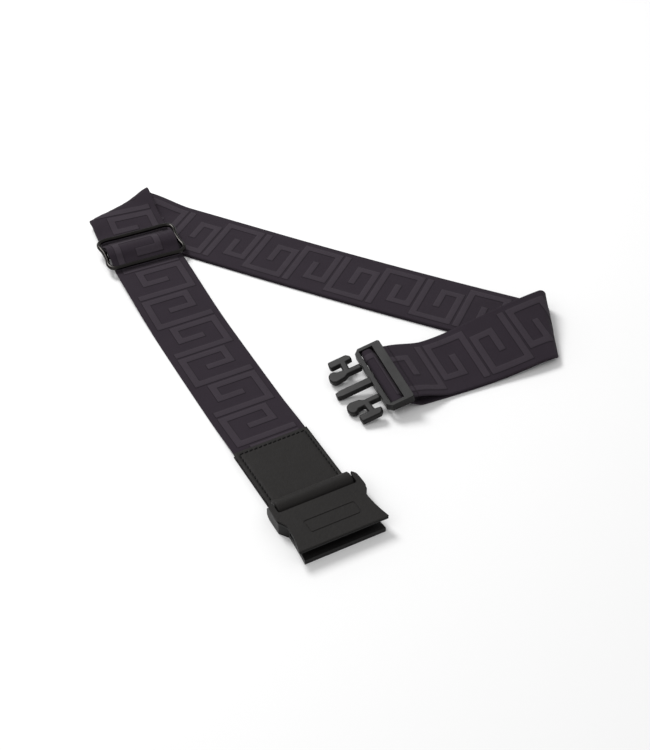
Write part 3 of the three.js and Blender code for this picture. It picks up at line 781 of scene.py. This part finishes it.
TAB_HALF, TAB_END, TAB_TOP, TAB_PLY = 25.4, 95, 4, 1.05
ROLL_OUTER, ROLL_INNER = 6.2, 2.6
TOP_PLY_OUTER, TOP_PLY_INNER = 45.2, 43.2  # Y at which the top ply's two faces meet the roll
LOWER_PLY_OUTER, LOWER_PLY_INNER = 2.5, 5.5  # and the lower ply's, behind the bar
ROLL_FROM, ROLL_TO = -17, 262  # degrees round the bar
PATCH_FROM, PATCH_BLEND = 45, 3
SEAM_X, SEAM_END = 22.7, 92.6
SEAM_DEPTH, SEAM_SPREAD, SEAM_BLEND = 0.3, 0.55, 0.6


def tab_profile():
    """Outside and inside of the folded leather in (y, z), from the top ply's end round to the lower's."""
    outside = [(y, TAB_TOP) for y in np.linspace(TAB_END, TOP_PLY_OUTER, 40)]
    inside = [(y, TAB_TOP - TAB_PLY) for y in np.linspace(TAB_END, TOP_PLY_INNER, 40)]
    for angle in np.radians(np.linspace(ROLL_FROM, ROLL_TO, 46)):
        outside.append((BAR_Y + ROLL_OUTER * math.cos(angle), BAR_Z + ROLL_OUTER * math.sin(angle)))
        inside.append((BAR_Y + ROLL_INNER * math.cos(angle), BAR_Z + ROLL_INNER * math.sin(angle)))
    outside += [(y, 0) for y in np.linspace(BAR_Y + LOWER_PLY_OUTER, TAB_END, 36)]
    inside += [(y, TAB_PLY) for y in np.linspace(BAR_Y + LOWER_PLY_INNER, TAB_END, 36)]
    return np.array(outside), np.array(inside)


def make_tab():
    outside, inside = tab_profile()
    insets = [0, 0.15, 0.5]
    edge = [side * (TAB_HALF - inset) for inset in insets for side in (-1, 1)]
    seam = [side * (SEAM_X + d) for side in (-1, 1) for d in (-1.2, -0.5, 0, 0.5, 1.2)]
    x = filled(edge + seam, lambda at: 1.6)
    walked = np.concatenate([[0], np.cumsum(np.linalg.norm(np.diff(outside, axis=0), axis=1))])
    share = np.interp(TAB_HALF - np.abs(x), insets, [0.35, 0.8, 1])[None, :, None]
    middle = (outside + inside)[:, None, :] / 2
    half = (outside - inside)[:, None, :] / 2 * share
    high, low = middle + half, middle - half
    y = high[..., 0]
    on_patch = smooth((y - PATCH_FROM) / PATCH_BLEND) * (high[..., 1] > TAB_TOP / 2)
    beside = np.exp(-(((np.abs(x) - SEAM_X) / SEAM_SPREAD) ** 2))[None]
    dent = beside * smooth((SEAM_END + SEAM_BLEND - y) / SEAM_BLEND)
    across_end = np.exp(-(((y - SEAM_END) / SEAM_SPREAD) ** 2)) * (np.abs(x) < SEAM_X)[None]
    dent = np.maximum(dent, across_end)
    high[..., 1] -= SEAM_DEPTH * dent * on_patch
    across = np.broadcast_to(x, y.shape)[..., None]
    top, under = (np.concatenate([across, side], -1)[:, ::-1] for side in (high, low))
    made = sheet_object("tab_leather", top, under, leather, walked, x[::-1])
    rides(made, "strap", "leather", "leather_tab")


def capsule(centre, direction, length, radius, sides=8, rings=3):
    """Points and faces of a round-ended stitch."""
    direction = np.array(direction, float) / np.linalg.norm(direction)
    side = np.cross(direction, [0, 0, 1])
    up = np.cross(side, direction)
    stations = []
    for end in (-1, 1):
        arc = np.linspace(90, 0, rings + 1)[1:] if end < 0 else np.linspace(0, 90, rings + 1)[:-1]
        for a in np.radians(arc):
            stations.append((end * (length / 2 - radius + radius * math.sin(a)), radius * math.cos(a)))
    around = np.linspace(0, 2 * np.pi, sides, endpoint=False)
    points = [np.array(centre) - direction * length / 2]
    for at, r in stations:
        points += [centre + direction * at + r * (side * math.cos(t) + up * math.sin(t)) for t in around]
    points.append(np.array(centre) + direction * length / 2)
    faces = [[0, 1 + (k + 1) % sides, 1 + k] for k in range(sides)]
    for ring in range(len(stations) - 1):
        base = 1 + ring * sides
        for k in range(sides):
            a, b = base + k, base + (k + 1) % sides
            faces.append([a, b, b + sides, a + sides])
    last, base = len(points) - 1, 1 + (len(stations) - 1) * sides
    faces += [[last, base + k, base + (k + 1) % sides] for k in range(sides)]
    return np.array(points), faces


STITCH_PITCH, STITCH_LENGTH, STITCH_RADIUS = 3.3, 2.5, 0.46
STITCH_SINK, STITCH_LEAN = 0.12, 0.22
STITCHES_FROM = 48  # the Y of the seams' ends by the roll


def stitches(name, centres, direction, node):
    points, faces = [], []
    for centre in centres:
        more, its_faces = capsule(np.array(centre), direction, STITCH_LENGTH, STITCH_RADIUS)
        faces += [[i + len(points) for i in face] for face in its_faces]
        points += more.tolist()
    rides(mesh_object(name, np.array(points), faces, thread), "strap", "thread", node)


def make_stitches():
    height = TAB_TOP - STITCH_SINK
    for name, x in (("left", -SEAM_X), ("right", SEAM_X)):
        ys = np.arange(SEAM_END - STITCH_PITCH / 2 - 0.4, STITCHES_FROM, -STITCH_PITCH)
        stitches(f"stitches_{name}", [(x, y, height) for y in ys], (STITCH_LEAN, 1, 0), f"tab_thread_{name}")
    count = round(2 * SEAM_X / STITCH_PITCH)
    xs = np.linspace(-SEAM_X, SEAM_X, count + 1)
    xs = (xs[1:] + xs[:-1]) / 2
    stitches("stitches_end", [(x, SEAM_END, height) for x in xs], (1, STITCH_LEAN, 0), "tab_thread_end")


make_tab()
make_stitches()

# ---------- slider ----------


def tube(name, centres, closed, radius, material, sides=20):
    """A round wire along a line of layout points."""
    centres = np.asarray(centres, float)
    ahead = np.roll(centres, -1, 0) if closed else np.vstack([centres[1:], 2 * centres[-1] - centres[-2]])
    behind = np.roll(centres, 1, 0) if closed else np.vstack([2 * centres[0] - centres[1], centres[:-1]])
    tangent = ahead - behind
    tangent /= np.linalg.norm(tangent, axis=1, keepdims=True)
    up = slider_frame.turn[:, 2]
    side = np.cross(tangent, up)
    side /= np.linalg.norm(side, axis=1, keepdims=True)
    lift = np.cross(side, tangent)
    around = np.linspace(0, 2 * np.pi, sides, endpoint=False)
    radius = np.broadcast_to(radius, len(centres))[:, None, None]
    circle = side[:, None] * np.cos(around)[None, :, None] + lift[:, None] * np.sin(around)[None, :, None]
    points = (centres[:, None] + circle * radius).reshape(-1, 3)
    count = len(centres)
    faces = []
    for i in range(count if closed else count - 1):
        a, b = i * sides, (i + 1) % count * sides
        faces += [[a + k, b + k, b + (k + 1) % sides, a + (k + 1) % sides] for k in range(sides)]
    if not closed:
        faces += [list(range(sides)), [(count - 1) * sides + k for k in reversed(range(sides))]]
    return mesh_object(name, points, faces, material)


SLIDER_BAR, SLIDER_STRAIGHT, SLIDER_END, SLIDER_WAIST = 15.7, 23.4, 27.9, 27
CORNER_INSET, CORNER_RISE, CORNER_FULL, WAIST_AT = 1.2, 1.6, 5, 4
BAR_SLACK = 0.1
BAR_END_ROUND = [(0, 0.7), (0.15, 0.93), (0.5, 1)]  # distance from the bar's end, share of its radius


def make_slider():
    quarter = [
        (SLIDER_STRAIGHT * 0.5, -SLIDER_BAR), (SLIDER_STRAIGHT, -SLIDER_BAR),
        (SLIDER_END - CORNER_INSET, -SLIDER_BAR + CORNER_RISE), (SLIDER_END, -SLIDER_BAR + CORNER_FULL),
        (SLIDER_WAIST, -WAIST_AT),
    ]
    right = quarter + [(x, -y) for x, y in reversed(quarter)]
    ring = catmull_rom(right + [(-x, y) for x, y in reversed(right)], 12, closed=True)
    wire = tube("slider_wire", slider_frame.place(ring[:, 0], ring[:, 1], 0), True, WIRE_RADIUS, gunmetal)
    rides(wire, "slider", "gunmetal", "slider_frame")
    end = SLIDER_WAIST - WIRE_RADIUS - GAP - BAR_SLACK
    x = np.array([-end, -end + 0.15, *np.linspace(-end + 0.5, end - 0.5, 24), end - 0.15, end])
    radius = WIRE_RADIUS * np.interp(end - np.abs(x), *zip(*BAR_END_ROUND))
    bar = tube("slider_bar_wire", slider_frame.place(x, 0, 0), False, radius, gunmetal)
    rides(bar, "slider", "gunmetal", "slider_bar")


make_slider()

# ---------- the socket's leather skin ----------

MOUTH, NECK, SHOULDER, REAR = 29.4, 26.4, 29.8, 32.2
LUG_INNER, LUG_OUTER, LUG_TO = 26.3, 29.8, 41.6
SKIN_LOW, SKIN_HIGH = 10, 11.2
WAIST_TO, NECK_TO = 12, 21  # from the mouth: where the sides are drawn in most, and where the curve ends
# The debossed frame's outer and inner outlines: half sizes and corner radius
DEBOSS_OUTER, DEBOSS_INNER = (17, 5.2, 1.6), (16.1, 4.3, 1)
DEBOSS_Y, DEBOSS_DEPTH = 14.5, 0.35
SHARP_ANGLE = math.radians(28)
BEVEL_SEGMENTS = 3


def skin_half():
    """The skin's outline on the +X side, from the mouth to the inside of the lug."""
    t = np.linspace(0, 1, 15)[:, None]
    side = (1 - t) ** 2 * [MOUTH, 0] + 2 * t * (1 - t) * [NECK, WAIST_TO] + t**2 * [NECK, NECK_TO]
    rest = catmull_rom(
        [(NECK, NECK_TO), (NECK + 1.5, 24), (SHOULDER - 0.6, 26.6), (SHOULDER, 28.5), (SHOULDER, 36),
         (LUG_OUTER - 0.4, LUG_TO - 2.6), (LUG_OUTER - 1.8, LUG_TO - 0.5), (LUG_INNER + 1.2, LUG_TO),
         (LUG_INNER + 0.2, LUG_TO - 0.8), (LUG_INNER, LUG_TO - 2), (LUG_INNER, REAR + 1.5)],
        5,
    )
    return np.vstack([side[:-1], rest, [[LUG_INNER - 0.3, REAR + 0.3], [LUG_INNER - 1.5, REAR]]])


def prism(name, outline, low, high, material):
    """An upright solid with the given plan outline, anticlockwise."""
    count = len(outline)
    points = [(x, y, z) for z in (low, high) for x, y in outline]
    faces = [list(range(count))[::-1], list(range(count, 2 * count))]
    faces += [[i, (i + 1) % count, count + (i + 1) % count, count + i] for i in range(count)]
    return mesh_object(name, points, faces, material)


def rounded_rectangle(half_x, half_y, radius, centre_y):
    points = []
    for corner, (sx, sy) in enumerate([(1, 1), (-1, 1), (-1, -1), (1, -1)]):
        for a in np.radians(np.linspace(0, 90, 7) + 90 * corner):
            points.append((sx * (half_x - radius) + radius * math.cos(a),
                           centre_y + sy * (half_y - radius) + radius * math.sin(a)))
    return points


def modify(made, kind, **settings):
    modifier = made.modifiers.new(kind.lower(), kind)
    for key, value in settings.items():
        setattr(modifier, key, value)
    return modifier


def apply_modifiers(made):
    graph = bpy.context.evaluated_depsgraph_get()
    baked = bpy.data.meshes.new_from_object(made.evaluated_get(graph))
    made.modifiers.clear()
    made.data = baked


def rounded(made, width):
    """Softens a moulding's edges."""
    bevel = modify(made, "BEVEL", width=width * MM, segments=BEVEL_SEGMENTS, limit_method="ANGLE")
    bevel.angle_limit = SHARP_ANGLE
    modify(made, "WEIGHTED_NORMAL", weight=100)


def make_skin():
    half = skin_half()
    outline = np.vstack([half, (half * [-1, 1])[::-1]])
    skin = prism("socket_skin", outline, SKIN_LOW, SKIN_HIGH, leather)
    ring_outer = rounded_rectangle(*DEBOSS_OUTER, DEBOSS_Y)
    ring_inner = rounded_rectangle(*DEBOSS_INNER, DEBOSS_Y)
    frame_outer = prism("frame_outer", ring_outer, SKIN_HIGH - DEBOSS_DEPTH, SKIN_HIGH + 1, leather)
    frame_inner = prism("frame_inner", ring_inner, SKIN_HIGH - 1, SKIN_HIGH + 2, leather)
    bpy.context.view_layer.update()
    modify(frame_outer, "BOOLEAN", operation="DIFFERENCE", object=frame_inner, solver="EXACT")
    apply_modifiers(frame_outer)
    modify(skin, "BOOLEAN", operation="DIFFERENCE", object=frame_outer, solver="EXACT")
    apply_modifiers(skin)
    rounded(skin, 0.22)
    for tool in (frame_outer, frame_inner):
        bpy.data.objects.remove(tool)
    rides(skin, "socket", "leather", "socket_leather")


make_skin()

# ---------- mouldings kept from the CAD model ----------

WELD_WITHIN = 0.002
FLAT_WITHIN = math.radians(0.5)


def dress(node, material, bevel):
    """Gives a CAD moulding its material and soft edges."""
    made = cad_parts[node]
    made.data.materials.clear()
    made.data.materials.append(material)
    modify(made, "WELD", merge_threshold=WELD_WITHIN * MM)
    modify(made, "DECIMATE", decimate_type="DISSOLVE", angle_limit=FLAT_WITHIN)
    rounded(made, bevel)
    for polygon in made.data.polygons:
        polygon.use_smooth = True


BEVELS = {
    "socket_base": 0.5, "socket_top": 0.3, "prong_frame": 0.8, "prong_arm_left": 1.1, "prong_arm_right": 1.1,
}
for node, bevel in BEVELS.items():
    dress(node, plastic, bevel)

# ---------- floor, lights and camera ----------


def make_stage():
    mesh = bpy.data.meshes.new("floor")
    reach = 6.0
    corners = [(-reach, -reach, 0), (reach, -reach, 0), (reach, reach, 0), (-reach, reach, 0)]
    mesh.from_pydata(corners, [], [(0, 1, 2, 3)])
    floor = bpy.data.objects.new("floor", mesh)
    bpy.context.scene.collection.objects.link(floor)
    n = Nodes("floor", Base_Color=(0.86, 0.86, 0.86, 1), Roughness=0.9, Specular_IOR_Level=0.1)
    mesh.materials.append(n.material)


def make_light(name, location, size, power):
    """A round soft light aimed at the frame's origin."""
    lamp = bpy.data.lights.new(name, "AREA")
    lamp.shape = "DISK"
    lamp.size = size
    lamp.energy = power
    made = bpy.data.objects.new(name, lamp)
    made.location = location
    made.rotation_euler = (-Vector(location)).to_track_quat("-Z", "Y").to_euler()
    bpy.context.scene.collection.objects.link(made)


WORLD_STRENGTH = 0.55
# Name, place and size in metres, and power
LIGHTS = [("key", (-0.3, 1.0, 1.3), 0.7, 21), ("fill", (-0.9, -0.5, 1.3), 1.2, 5)]


def make_lights():
    world = bpy.data.worlds.new("studio")
    bpy.context.scene.world = world
    world.use_nodes = True
    background = world.node_tree.nodes["Background"]
    background.inputs["Color"].default_value = (1, 1, 1, 1)
    background.inputs["Strength"].default_value = WORLD_STRENGTH
    for light in LIGHTS:
        make_light(*light)
    bpy.context.scene.view_settings.view_transform = "Standard"


CAMERA_AT = (-284.5, -502.3, 659.5)
CAMERA_TILT, CAMERA_HEADING, CAMERA_LENS = 47.7, -28.4, 72


def make_camera():
    data = bpy.data.cameras.new("camera")
    data.lens = CAMERA_LENS
    camera = bpy.data.objects.new("camera", data)
    camera.location = to_frame(CAMERA_AT)
    camera.rotation_euler = (math.radians(CAMERA_TILT), 0, math.radians(CAMERA_HEADING))
    bpy.context.scene.collection.objects.link(camera)
    bpy.context.scene.camera = camera


make_stage()
make_lights()
make_camera()
